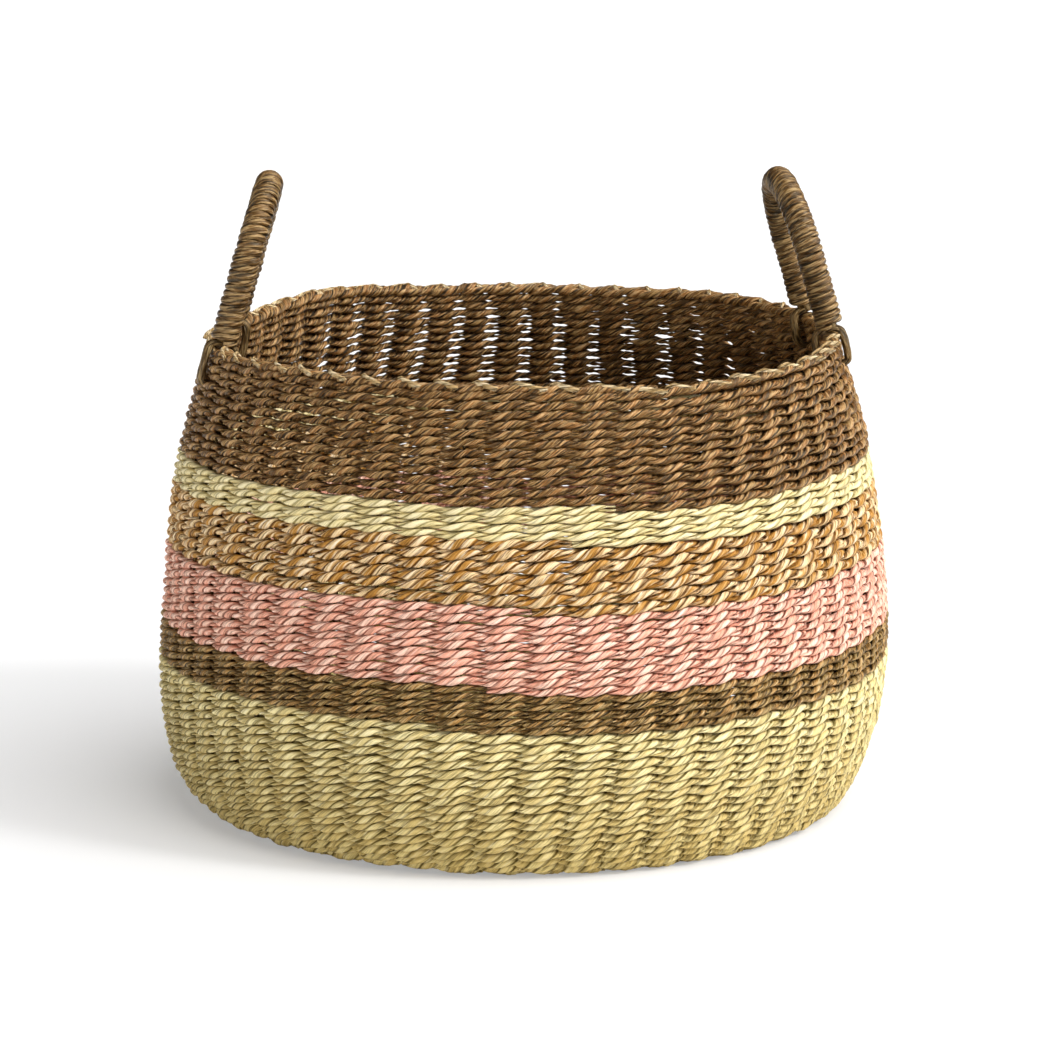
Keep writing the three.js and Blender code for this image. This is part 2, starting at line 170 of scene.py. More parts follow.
# Slow sine waves round the wall: size, how many go round, radians for each metre up the wall, and
# radians at the start. They move the wall out, round and up, in metres, radians and metres.
WAVES_OUT = ((0.0011, 2, 0, 0.6), (0.0008, 5, 22, 0))
WAVES_ROUND = ((0.006, 3, 38, 0), (0.005, 7, -60, 0))
WAVES_UP = ((0.0009, 3, 0, 1.7), (0.0005, 8, 30, 0))
WAVES_FROM = 0.06  # the height at which they are full

# Where use has bent the wall: how far out and up, from which height, over how much height, towards
# which side in radians, and how narrow.
BENDS = (
    (-0.006, 0.003, 0.228, 0.035, 0, 6),  # drawn in by the right handle
    (0.003, 0, 0.13, 0.06, np.pi, 4),  # fuller on the left
    (0.004, 0.003, 0.2, 0.08, 2.3, 20),  # pushed out and up at the back left
    (0, 0.002, 0.2, 0.08, 1.05, 20),  # up at the back right
    (0, 0.0018, 0.2, 0.08, None, 1.6),  # up all along the back, and how steeply that sets in
)
MOUTH_RIGHT = 0.004
MOUTH_FROM, MOUTH_OVER = 0.19, 0.09
HEEL_LEFT = 0.0035
HEEL_LEFT_MOST = 0.02  # the height at which it is most
SQUARE_POWER = 8  # of the rows that go round the crossed stakes
SQUARE_WITHIN, SQUARE_OVER = 0.035, 0.05
CROSS_TURN = STAKE_GAP / 2
FLOOR_GAP = 0.0001


def risen(value, start, over):
    """0 up to a start, and from there straight up to 1."""
    return np.clip((value - start) / over, 0, 1)


def slow_waves(waves, turn, up):
    """The sum of sine waves of the angle round the basket and the length up its wall."""
    return sum(
        size * np.sin(count * turn + slope * up + start) for size, count, slope, start in waves
    )


def at_back(turn, steepness=2):
    """0 at the front and 1 at the back: the sine of the angle, made steeper and cut off at 1."""
    return np.clip(steepness * np.sin(turn), 0, 1)


def wall(turn, up, out):
    """Points of the basket: turn is the angle round it, up the length along the middle line and out
    the distance out of the wall.

    Near its middle the base is a rounded square, a ring on which the eighth powers of x and y have
    the same sum all round. The slow waves make the wall uneven, as handwork is. Each bend grows
    straight from 0 to 1 with the height, and round the basket it is a power of the cosine of the
    angle from its side. A smooth step moves the mouth to the right. The heel moves to the left by
    h exp(1 - h), where h is the height as a share of the one where it moves most. Nothing goes
    below the floor that it stands on."""
    turn, up, out = np.broadcast_arrays(turn, up, out)
    profile = (MIDDLE_RADIUS, MIDDLE_HEIGHT, OUT_RADIAL, OUT_UP)
    radius, height, out_r, out_z = (np.interp(up, LENGTH, part) for part in profile)
    uneven = risen(height, 0, WAVES_FROM)
    out = out + uneven * slow_waves(WAVES_OUT, turn, up)
    turn = turn + uneven * slow_waves(WAVES_ROUND, turn, up)
    radius = radius + out * out_r
    height = height + out * out_z
    height = height + uneven * slow_waves(WAVES_UP, turn, up)
    squared = turn - CROSS_TURN
    sides = np.abs(np.cos(squared)) ** SQUARE_POWER + np.abs(np.sin(squared)) ** SQUARE_POWER
    square = sides ** (-1 / SQUARE_POWER) - 1
    radius = radius * (1 + square * (1 - risen(radius, SQUARE_WITHIN, SQUARE_OVER)))
    level = height
    for outwards, upwards, start, over, side, narrow in BENDS:
        if side is None:
            bend = at_back(turn, narrow)
        else:
            bend = np.clip(np.cos(turn - side), 0, 1) ** narrow
        bend = bend * risen(level, start, over)
        radius = radius + outwards * bend
        height = height + upwards * bend
    lean = risen(height, MOUTH_FROM, MOUTH_OVER)
    h = height / HEEL_LEFT_MOST
    right = MOUTH_RIGHT * lean * lean * (3 - 2 * lean) - HEEL_LEFT * h * np.exp(1 - np.abs(h))
    height = np.maximum(height, FLOOR_GAP)
    return np.stack([radius * np.cos(turn) + right, radius * np.sin(turn), height], -1)


def tubes(name, rings, along, looped=False):
    """A mesh of tubes. rings has the axes tube, ring, corner of the ring and x, y, z, and along has
    the length run at each ring. Quads join each ring to the next, and a face closes each end unless
    the tubes are looped.

    Its UV map holds the length along the tube in metres and the share of the way round it."""
    rings = np.asarray(rings, float)
    count, steps, corners = rings.shape[:3]
    spans = steps if looped else steps - 1
    tube, i, j = np.meshgrid(np.arange(count), np.arange(spans), np.arange(corners), indexing="ij")
    first = tube * steps * corners
    here, there = first + i * corners, first + ((i + 1) % steps) * corners
    after = (j + 1) % corners
    quads = np.stack([here + j, here + after, there + after, there + j], -1).reshape(-1, 4)
    points = rings.reshape(-1, 3)
    a, b, c = (points[quads[:, k]] for k in (0, 1, 2))
    inside_out = np.einsum("ij,ij->", a - points.mean(0), np.cross(b - a, c - a)) < 0
    run = np.asarray(along, float)
    step = run[:, 1:2] - run[:, :1]
    run = np.concatenate([run, run[:, -1:] + step], 1)
    start, end = run[tube, i], run[tube, i + 1]
    u = np.stack([start, start, end, end], -1).reshape(-1, 4)
    v = np.stack([j, j + 1, j + 1, j], -1).reshape(-1, 4) / corners
    if inside_out:
        quads, u, v = quads[:, ::-1], u[:, ::-1], v[:, ::-1]
    loops, totals = [quads.ravel()], [np.full(len(quads), 4)]
    uv = [np.stack([u.ravel(), v.ravel()], -1)]
    if not looped:
        ring = np.arange(corners)
        for k in range(count):
            for last, flip in ((0, True), (steps - 1, False)):
                face = (k * steps + last) * corners + ring
                face = face[::-1] if flip != inside_out else face
                loops.append(face)
                totals.append(np.array([corners]))
                way_round = (face % corners) / corners
                uv.append(np.stack([np.full(corners, run[k, last]), way_round], -1))
    loops, totals, uv = np.concatenate(loops), np.concatenate(totals), np.concatenate(uv)
    mesh = bpy.data.meshes.new(name)
    mesh.vertices.add(len(points))
    mesh.vertices.foreach_set("co", points.ravel())
    mesh.loops.add(len(loops))
    mesh.loops.foreach_set("vertex_index", loops.astype(np.int32))
    mesh.polygons.add(len(totals))
    starts = np.concatenate([[0], np.cumsum(totals)[:-1]])
    mesh.polygons.foreach_set("loop_start", starts.astype(np.int32))
    mesh.polygons.foreach_set("use_smooth", np.ones(len(totals), bool))
    mesh.uv_layers.new(name="UVMap").data.foreach_set("uv", uv.ravel().astype(np.float32))
    mesh.update(calc_edges=True)
    mesh.validate()
    piece = bpy.data.objects.new(name, mesh)
    bpy.context.collection.objects.link(piece)
    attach(piece, "root")
    return piece


def run_length(points):
    """The length run along rows of points, from the start of each row."""
    steps = np.linalg.norm(np.diff(points, axis=-2), axis=-1)
    return np.concatenate([np.zeros(steps.shape[:-1] + (1,)), np.cumsum(steps, -1)], -1)


def two_plies(corners, groove):
    """The corners' angles round a two-ply cord and its width at each, a circle pinched at the two
    grooves by a share of the cube of the sine."""
    around = 2 * np.pi * np.arange(corners) / corners
    return around, 1 - groove * np.abs(np.sin(around)) ** 3


def corded(paths, side, half_side, half_other, lay, corners=8, groove=0.26):
    """Rings of a two-ply cord along rows of points, which turn once in a lay. side gives the way of
    the ring's first half-width."""
    way = np.gradient(paths, axis=-2)
    way /= np.linalg.norm(way, axis=-1, keepdims=True)
    side = side - way * np.sum(side * way, -1, keepdims=True)
    side /= np.linalg.norm(side, axis=-1, keepdims=True)
    other = np.cross(way, side)
    run = run_length(paths)
    around, pinch = two_plies(corners, groove)
    angle = around - 2 * np.pi * run[..., None] / lay
    half_side = np.broadcast_to(np.asarray(half_side)[..., None], angle.shape)
    half_other = np.broadcast_to(np.asarray(half_other)[..., None], angle.shape)
    across = (pinch * half_side * np.cos(angle))[..., None] * side[..., None, :]
    over = (pinch * half_other * np.sin(angle))[..., None] * other[..., None, :]
    return paths[..., None, :] + across + over, run


def paint(code):
    """A colour written as six hex digits, made linear by the curve that screens use."""
    parts = np.array([int(code[i : i + 2], 16) for i in (0, 2, 4)]) / 255
    return (*np.where(parts <= 0.04045, parts / 12.92, ((parts + 0.055) / 1.055) ** 2.4), 1)


# Spots of noise in each metre along the cord, and in each half of its width
CREASE_STRETCH = (75, 1.4, 1.4)
FIBRE_STRETCH = (140, 2.6, 2.6)
PATCH_STRETCH = (75, 0.9, 0.9)
NOISE_ROUGHNESS = 0.6
PLY_EDGE = 0.7  # of the cosine, on either side of 0, where the colours of the plies mix
# The groove colour, laid where the cosine is near 0, is painted shade between the plies.
GROOVE_EDGE = 0.6  # of the cosine, over which a groove ends
# Over a tone of 1 a paler colour is mixed in: partly the paper's own paler fibres and partly
# painted highlight on the high creases.
PALE_POWER = 0.55
PALE_TONE = 2.6  # at which a pale stretch is fully pale
# How the colour is darkened towards the foot of the wall: the height where that ends, and the
# colour multiplied in.
FOOT_DARKENING_HEIGHT = 0.08  # where it ends
FOOT_DARKENING = (0.66, 0.57, 0.35, 1)
FIBRE_RELIEF = 0.35
RIDGE_RELIEF = 0.4


def twisted_paper():
    """Node group for twisted paper cord, on the UV map of its tube. The cosine of the way round
    tells the two plies apart and is zero in the grooves between them, where the groove colour is
    painted shade. Noise stretched along the cord draws the creases and fibres of the paper, slower
    noise its paler and darker stretches, and the colour is darkened towards the foot of the wall.
    The tone is the exponential function of the noises' sum. Under 1 it darkens the colour, and over
    1 it mixes in a pale shade, the colour to a power under 1. As the crease and fibre noises also
    raise the relief, the tone is partly the paper's own uneven tone and partly painted shade in the
    low creases and painted highlight on the high ones."""
    group = bpy.data.node_groups.new("twisted_paper", "ShaderNodeTree")
    for socket in ("Ply", "Other Ply", "Groove Shade"):
        group.interface.new_socket(socket, in_out="INPUT", socket_type="NodeSocketColor")
    for socket in ("Creases", "Fibres", "Patches", "Mixing", "Foot Darkening"):
        group.interface.new_socket(socket, in_out="INPUT", socket_type="NodeSocketFloat")
    group.interface.new_socket("Colour", in_out="OUTPUT", socket_type="NodeSocketColor")
    group.interface.new_socket("Relief", in_out="OUTPUT", socket_type="NodeSocketFloat")
    given = group.nodes.new("NodeGroupInput").outputs

    def math(operation, *values):
        """The result of a Math node."""
        return node(group, "Math", dict(enumerate(values)), operation=operation).outputs[0]

    def mix(share, first, second, **settings):
        """Two colours mixed. A Mix node takes them at 6 and 7 and gives the mixture at 2."""
        colours = {0: share, 6: first, 7: second}
        return node(group, "Mix", colours, data_type="RGBA", **settings).outputs[2]

    def share_of(value, low, high, **settings):
        """How far a value has come from low to high, cut off at 0 and 1."""
        return node(group, "MapRange", {0: value, 1: low, 2: high}, **settings).outputs[0]

    def noise(stretch, detail):
        """Noise of the length along the cord and of the cosine and sine of the way round it."""
        inputs = {0: round_cord, 1: stretch}
        place = node(group, "VectorMath", inputs, operation="MULTIPLY").outputs[0]
        inputs = {"Vector": place, "Scale": 1, "Detail": detail, "Roughness": NOISE_ROUGHNESS}
        return node(group, "TexNoise", inputs).outputs[0]

    places = node(group, "TexCoord").outputs
    along, way_round = node(group, "SeparateXYZ", {0: places["UV"]}).outputs[:2]
    angle = math("MULTIPLY", way_round, 2 * np.pi)
    cosine = math("COSINE", angle)
    round_cord = node(group, "CombineXYZ", {0: along, 1: cosine, 2: math("SINE", angle)}).outputs[0]
    crease = noise(CREASE_STRETCH, detail=3)
    fibre = noise(FIBRE_STRETCH, detail=2)
    patch = noise(PATCH_STRETCH, detail=2)
    slow = math("SUBTRACT", patch, 0.5)
    which = share_of(math("MULTIPLY_ADD", slow, given["Mixing"], cosine), -PLY_EDGE, PLY_EDGE)
    plies = mix(which, given["Other Ply"], given["Ply"])
    ridge = share_of(math("ABSOLUTE", cosine), 0.0, GROOVE_EDGE, interpolation_type="SMOOTHSTEP")
    # Painted shade: the groove colour darkens the grooves between the plies.
    colour = mix(ridge, given["Groove Shade"], plies)
    # The tone follows the noises that raise the relief: partly the paper's own uneven tone, partly
    # painted shade in the low creases and painted highlight on the high ones.
    tone = math("MULTIPLY", math("SUBTRACT", crease, 0.5), given["Creases"])
    tone = math("MULTIPLY_ADD", slow, given["Patches"], tone)
    tone = math("MULTIPLY_ADD", math("SUBTRACT", fibre, 0.5), given["Fibres"], tone)
    tone = math("EXPONENT", tone)
    darker = {0: colour, 3: math("MINIMUM", tone, 1.0)}
    colour = node(group, "VectorMath", darker, operation="SCALE").outputs[0]
    pale = node(group, "Gamma", {0: plies, 1: PALE_POWER}).outputs[0]
    colour = mix(share_of(tone, 1.0, PALE_TONE), colour, pale)
    # The colour is darkened towards the foot of the wall.
    height = node(group, "SeparateXYZ", {0: places["Object"]}).outputs[2]
    low = math("MULTIPLY", share_of(height, FOOT_DARKENING_HEIGHT, 0.0), given["Foot Darkening"])
    colour = mix(low, colour, FOOT_DARKENING, blend_type="MULTIPLY")
    relief = math("MULTIPLY_ADD", fibre, FIBRE_RELIEF, crease)
    relief = math("MULTIPLY_ADD", ridge, RIDGE_RELIEF, relief)
    out = group.nodes.new("NodeGroupOutput")
    group.links.new(colour, out.inputs["Colour"])
    group.links.new(relief, out.inputs["Relief"])
    return group


TWISTED_PAPER = twisted_paper()
RELIEF_STRENGTH = 0.9
SHINE_TINT = (1, 0.82, 0.56, 1)


def paper_material(name, ply, other_ply, groove, creases=2.0, fibres=1.5, patches=0.5, mixing=1.0,
                   foot_darkening=0.0, roughness=0.6, shine=0.35, relief=0.0013):
    """Twisted paper, matt or satin, in the colours of its two plies, with painted shade in the
    grooves between them. The creases and fibres set how far its tone darkens and pales, partly the
    paper's own tone and partly painted shade and painted highlight on its relief.
    """
    material = bpy.data.materials.new(name)
    material.use_nodes = True
    tree = material.node_tree
    tree.nodes.clear()
    look = tree.nodes.new("ShaderNodeGroup")
    look.node_tree = TWISTED_PAPER
    for socket, value in (
        ("Ply", paint(ply)), ("Other Ply", paint(other_ply)), ("Groove Shade", paint(groove)),
        ("Creases", creases), ("Fibres", fibres), ("Patches", patches), ("Mixing", mixing),
        ("Foot Darkening", foot_darkening),
    ):
        look.inputs[socket].default_value = value
    bump = node(tree, "Bump", {
        "Strength": RELIEF_STRENGTH, "Distance": relief, "Height": look.outputs["Relief"],
    })
    surface = node(tree, "BsdfPrincipled", {
        "Base Color": look.outputs["Colour"], "Normal": bump.outputs[0],
        "Roughness": roughness, "Specular IOR Level": shine, "Specular Tint": SHINE_TINT,
    })
    node(tree, "OutputMaterial", {"Surface": surface.outputs[0]})
    return material


def finish(piece, material, slot, *nodes):
    """Gives a piece its material and hides the nodes of model.glb that it stands for. The slot is
    not used.
    """
    piece.data.materials.append(material)
    if nodes:
        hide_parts(*nodes)


STAKE_RADIUS = 0.002
STAKE_LAY = 0.012
STAKE_SPARE = 0.003  # over the weft, under the border
CROSS_PITCH = 0.0043
CROSS_EDGE = 0.0283
CROSS_RISE = 0.0021  # of a cord over the one that it crosses
CROSS_POINTS = 53
FAN_RADIUS = 0.048
FAN_POINTS = 110
OUTWARDS = 8  # how fast the cord's first side turns from up to outwards, for each metre

# The stakes' own dull brown, made darker so that the gaps between the ropes where the stakes show
# look dark: partly painted shade.
stake_paper = paper_material("stake_paper", "74582f", "604a28", "2e1e0d")


def stakes(turned, flipped):
    """One bundle of 13 stakes, as rows of points. Each runs straight across the middle, rising and
    falling as a cosine from one crossing cord to the next, and lies in the wall from the fan on."""
    place = np.arange(BUNDLE) - BUNDLE // 2
    across = np.linspace(-CROSS_EDGE, CROSS_EDGE, CROSS_POINTS)
    crossing = np.cos(np.pi * (across[None] / CROSS_PITCH + place[:, None]))
    level = WALL_THICKNESS / 2 + flipped * CROSS_RISE * crossing
    straight = np.stack([
        np.broadcast_to(across, level.shape),
        np.broadcast_to(place[:, None] * CROSS_PITCH, level.shape),
        level,
    ], -1)
    cos, sin = np.cos(turned), np.sin(turned)
    straight = straight @ np.array([[cos, sin, 0], [-sin, cos, 0], [0, 0, 1]])
    up = np.linspace(FAN_RADIUS, WEFT_TOP + STAKE_SPARE, FAN_POINTS)
    near = wall((turned + place * STAKE_GAP)[:, None], up[None], 0)
    far = wall((turned + np.pi - place * STAKE_GAP)[:, None], up[None], 0)
    return np.concatenate([far[:, ::-1], straight, near], 1)


for bundle, turned, flipped in (
    ("lower_stake", CROSS_TURN, 1),
    ("upper_stake", CROSS_TURN + np.pi / 2, -1),
):
    paths = stakes(turned, flipped)
    upright = np.zeros_like(paths)
    upright[..., 2] = 1
    upright[..., :2] = paths[..., :2] * OUTWARDS
    rings, run = corded(paths, upright, STAKE_RADIUS, STAKE_RADIUS, STAKE_LAY, corners=6)
    piece = tubes(bundle + "s", rings, run)
    finish(piece, stake_paper, "stake_cord", *[f"{bundle}_{i:02d}" for i in range(1, BUNDLE + 1)])

# Ropes of the wall and base
# Each course is a pair of two-ply paper ropes that go round together. At a stake one lies outside
# and the other inside, and in the gap to the next they change places with half a twist.

# How much wider or narrower the slits are, towards seven sides
SIDES = np.radians([0, 65, 110, 140, 180, 230, 310])
EVEN = (0, 0, 0, 0, 0, 0, 0)
CLOSED = (-1.2, -2.6, -2.6, -2.6, -1.2, -1.2, -1.2)
OPEN_BACK = (0, -0.8, 0.3, 1.5, 1.2, 0, 0)

# Shares of the height of a row
SLIT_SHARE = 0.04  # by which a rope is thinner and rises less, for each 1 that a side is opened
THIN_SHARE = 0.13  # half a rope's height where it is pressed thin
CLOSED_SHARE = 0.09  # more than that under the border
RISE_SHARE = 0.195  # how far a rope rises from stake to stake
BEND_SHARE = 0.03  # how far it bends twice as often
SLOW_SHARE = 0.07  # how far whole stretches of a row lie high or low

ROPE_SWING = 0.0037  # from the middle of the wall to a rope's centre at a stake
DRAWN_IN = 0.3  # of that swing, under the border
ROPE_HALF_OUT = 0.003
ROPE_WIDE_OUT = 0.0056  # where it is pressed flat between two stakes
BACK_THINNER = 0.002
BACK_FALL = 0.3  # of the slits to the outside at the back
FULL_POWER = 0.85  # how soon after a crossing the rope is full again
FULL_LEAST = 0.002  # under the root, so that a crossing is rounded and not a point
TIGHTER_TWIST = 14  # radians of twist more in each radian round on the left, fewer on the right
TIGHTER_OVER = 0.05  # up the heel, over which this sets in
TIGHT_BELOW, TIGHT_OVER = 0.02, 0.01  # under the weft's top, where the slits close
TAPERED_SWING, TAPERED_HEIGHT, TAPERED_WIDTH = 0.4, 0.5, 0.6  # what is left of each at a rope's end

# How unevenly the stitches lie: radians, shares, metres, metres and radians of twist
UNEVEN_PLACE = 0.16
UNEVEN_SIZE = 0.16
UNEVEN_SLIT = 0.06
UNEVEN_RISE = 0.0003
UNEVEN_SWING = 0.0004
UNEVEN_TWIST = 1.1
ROPES_APART = 40  # metres of the paper's pattern between the two ropes of a pair


def pair(start, rows, low, high, seed, lay=0.019, gaps=1, steps=15, corners=8, groove=0.28,
         pressed=0.505, open_share=1.0, opened=EVEN):
    """The rings of the two ropes of one colour, wound up from low to high, and the length run along
    each.

    With p the angle that grows by half a turn from one stake to the next, a rope lies out of the
    wall by its swing times cos p, and up it by small shares of sin p and sin 2p, and the other rope
    half a turn on. Where they cross they are pressed thin and wide, so that a slit stays open
    between two courses. The slits close up under the border, and at the back they fall to the
    outside. opened says how much wider they are towards each of the SIDES, where less than 0 is
    narrower. The plies turn once in a lay, less a multiple of the sine of the turn, which makes the
    twist tighter on the left and longer on the right. gaps is the number of stakes that each stitch
    covers. Random numbers, seeded, vary each stitch."""
    chance = np.random.default_rng(seed)
    count = int(round(rows * STAKES / gaps * steps))
    turn = start + np.linspace(0, rows * 2 * np.pi, count + 1)
    up = np.interp(turn, turn[[0, -1]], (low, high))
    pitch = (high - low) / rows
    knots = np.arange(int(rows * STAKES / gaps) + 3)
    stitch = (turn - start) / (gaps * STAKE_GAP)

    def vary(amount):
        """Random values up to the amount at each stitch, joined by straight lines."""
        return amount * np.interp(stitch, knots, chance.uniform(-1, 1, len(knots)))

    made = []
    slow = np.interp(stitch, knots[::3], chance.uniform(-1, 1, len(knots[::3])))
    back = at_back(turn)
    wider = SLIT_SHARE * np.interp(turn, SIDES, opened, period=2 * np.pi)
    closed = risen(up, WEFT_TOP - TIGHT_BELOW, TIGHT_OVER)
    eased = TIGHTER_TWIST * np.sin(turn) * risen(up, BASE_RADIUS, TIGHTER_OVER)
    around, pinch = two_plies(corners, groove)
    for second in (0, 1):
        p = np.pi * (turn / (gaps * STAKE_GAP) - 0.5 + second) + vary(UNEVEN_PLACE)
        full = np.sqrt(np.cos(p) ** 2 + FULL_LEAST)
        size = 1 + vary(UNEVEN_SIZE)
        thin = THIN_SHARE - wider + CLOSED_SHARE * closed + vary(UNEVEN_SLIT)
        thin = thin * pitch * open_share
        rise = (RISE_SHARE - wider) * np.sin(p) + BEND_SHARE * np.sin(2 * p) + SLOW_SHARE * slow
        rise = pitch * rise + vary(UNEVEN_RISE)
        half_height = (thin + (pressed * pitch - thin) * full**FULL_POWER) * size
        wide = ROPE_WIDE_OUT - BACK_THINNER * back
        half_out = (wide + (ROPE_HALF_OUT - wide) * full) * size
        end = np.clip(np.minimum(stitch, stitch[-1] - stitch), 0, 1)
        swing = ROPE_SWING * (1 - DRAWN_IN * closed) * np.cos(p)
        swing = swing * (TAPERED_SWING + (1 - TAPERED_SWING) * end) + vary(UNEVEN_SWING)
        half_height = half_height * (TAPERED_HEIGHT + (1 - TAPERED_HEIGHT) * end)
        half_out = half_out * (TAPERED_WIDTH + (1 - TAPERED_WIDTH) * end)
        run = run_length(wall(turn, up + rise, swing))
        angle = around + (2 * np.pi * run / lay - eased + vary(UNEVEN_TWIST))[:, None]
        out = swing[:, None] + half_out[:, None] * pinch * np.cos(angle)
        height = (up + rise)[:, None] + half_height[:, None] * pinch * np.sin(angle)
        fall = BACK_FALL * back * (1 - full) * (1 - closed)
        rings = wall(turn[:, None], height - fall[:, None] * out, out)
        made.append((rings, run + ROPES_APART * second + seed))
    return made


# The green paper is darkened towards the foot of the wall.
# The third colour of each paper is painted shade in the grooves between its plies.
green_paper = paper_material("green_paper", "e9d99e", "dac585", "6e5f26", creases=3, fibres=2.6,
                             foot_darkening=0.8, relief=0.0015)
bark_paper = paper_material("bark_paper", "a97c3e", "82602a", "170d02", creases=8, fibres=6,
                            patches=1, roughness=0.39, shine=0.7, relief=0.0024)
pink_paper = paper_material("pink_paper", "fccdb5", "f0ac91", "8a4230", creases=3.4, fibres=2.6,
                            mixing=2, relief=0.0016)
tan_paper = paper_material("tan_paper", "f0cf9b", "b67f35", "6c3f0f", creases=4.4, fibres=3,
                           mixing=7.5, relief=0.002)
cream_paper = paper_material("cream_paper", "eedfae", "e4d298", "8b7c42", creases=2.2, fibres=2,
                             relief=0.0011)
brown_paper = paper_material("brown_paper", "98652f", "734a1b", "1c0f02", creases=10, fibres=7.5,
                             patches=1.5, mixing=2, roughness=0.37, shine=0.75, relief=0.0026)

BASE_START = np.radians(-110)

# The base's rows are stitched over two stakes each near the middle, where the stakes lie close.
for part, seed, rows, low, high, gaps, steps in (
    ("middle", 1, 14, 0.034, 0.105, 2, 12),
    ("edge", 2, 16, 0.105, BASE_RADIUS, 1, 8),
):
    ropes = pair(BASE_START, rows, low, high, seed, gaps=gaps, steps=steps, corners=6)
    for (rings, run), side in zip(ropes, ("under", "over")):
        piece = tubes(f"base_{part}_rope_{side}", rings[None], run[None])
        stands_for = [f"base_weft_{side}"] if part == "middle" else []
        finish(piece, green_paper, "green_rope", *stands_for)

OVERLAP = 7 / 360  # each colour ends a little further round than it began
GREEN_CUTS = (0.0269, 0.0568)  # heights at which the green rope goes on as another piece

# The green rope is one length from the heel to the belly, in three pieces here.
for band, rows, from_height, to_height, degrees, paper, lay, groove, open_share, opened, seed in (
    ("green", 18, 0, 0.092, -110, green_paper, 0.0205, 0.1, 1.1, EVEN, 11),
    ("bark", 5, 0.092, 0.115, -103, bark_paper, 0.016, 0.38, 1, CLOSED, 12),
    ("pink", 9, 0.115, 0.1605, -96, pink_paper, 0.018, 0.17, 1, CLOSED, 13),
    ("tan", 6, 0.1605, 0.198, -89, tan_paper, 0.019, 0.24, 1, CLOSED, 14),
    ("cream", 4, 0.198, 0.2164, -82, cream_paper, 0.024, 0.07, 1.1, CLOSED, 15),
    ("brown", 12, 0.2164, 0.279, -75, brown_paper, 0.0185, 0.31, 1, OPEN_BACK, 16),
):
    low = BASE_RADIUS if from_height == 0 else up_at(from_height)
    high = up_at(to_height)
    ropes = pair(np.radians(degrees), rows + OVERLAP, low, high, seed, lay=lay, groove=groove,
                 open_share=open_share, opened=opened)
    for (rings, run), side in zip(ropes, ("outer", "inner")):
        cuts = [0, len(rings) - 1]
        names = [band]
        if band == "green":
            share = (np.array([up_at(height) for height in GREEN_CUTS]) - low) / (high - low)
            cuts[1:1] = (share * len(rings)).astype(int).tolist()
            names = ["heel", "lower_green", "green"]
        for name, first, last in zip(names, cuts, cuts[1:]):
            kept = slice(first, last + 1)
            piece = tubes(f"{name}_rope_{side}", rings[None, kept], run[None, kept])
            finish(piece, paper, band + "_rope", f"{name}_weft_{side}")

# Border
# The last pair of ropes, drawn tight, and the ends of the 52 stakes, which are folded out over it
# and tucked in under it.

BORDER_START = np.radians(-75)
BORDER_ROUNDS = 1.02
BORDER_LOW = 0.001  # of its middle over the weft, where it starts
BORDER_CLIMB = 0.0026  # from its start to its end
BORDER_ROW = 0.00255  # in one round
BORDER_HALF_HEIGHT = 0.0026
BORDER_LAY = 0.016
BORDER_OPEN = 3.4  # its row is half as high as the wall's, so its slits take a larger share

low = WEFT_TOP + BORDER_LOW
ropes = pair(BORDER_START, BORDER_ROUNDS, low, low + BORDER_CLIMB, seed=30, lay=BORDER_LAY,
             pressed=BORDER_HALF_HEIGHT / BORDER_ROW, open_share=BORDER_OPEN, opened=CLOSED)
for (rings, run), side in zip(ropes, ("outer", "inner")):
    piece = tubes(f"border_rope_{side}", rings[None], run[None])
    finish(piece, brown_paper, "brown_rope", "border")

# The way of a folded end: out of the wall, up over the weft's top, and round in radians
END_PATH = [(-0.0006, 0.0, 0.0), (-0.0004, 0.0028, 0.002), (0.0012, 0.0044, 0.009),
            (0.0032, 0.0040, 0.022), (0.0046, 0.0031, 0.042), (0.0055, 0.0020, 0.07),
            (0.006, 0.0004, 0.105)]
END_POINTS = 20
ENDS = 3  # strands of a stake
END_APART = 0.0012  # round the rim
END_HIGHER = 0.0003
END_FURTHER_OUT = 0.0009
END_LENGTHS, END_HEIGHTS, END_REACHES = (0.6, 1.15), (0.85, 1.1), (0.7, 1.2)
END_DIFFERENCE = (0.96, 1.04)  # between the three strands of a stake
BACK_LOWER = 0.0024
BENT_OVER = 0.02  # radians round, by which a strand has bent over
END_SIDE = (0.3, 0.2, 1.0)
END_HALF_HEIGHT = 0.0011
END_HALF_WIDTH = 0.0008
END_LAY = 0.014
ENDS_APART = 0.31  # metres of the paper's pattern from one strand to the next


def smooth_line(points, t):
    """A Catmull-Rom line at t, counted in points from the second point on. Between two points it is
    the cubic whose slope at each is half the step from the point before to the point after."""
    k = t.astype(int)
    f = (t - k)[:, None]
    a, b, c, d = (points[k + n] for n in range(4))
    square, cube = 2 * a - 5 * b + 4 * c - d, 3 * b - a - 3 * c + d
    return 0.5 * (2 * b + (c - a) * f + square * f**2 + cube * f**3)


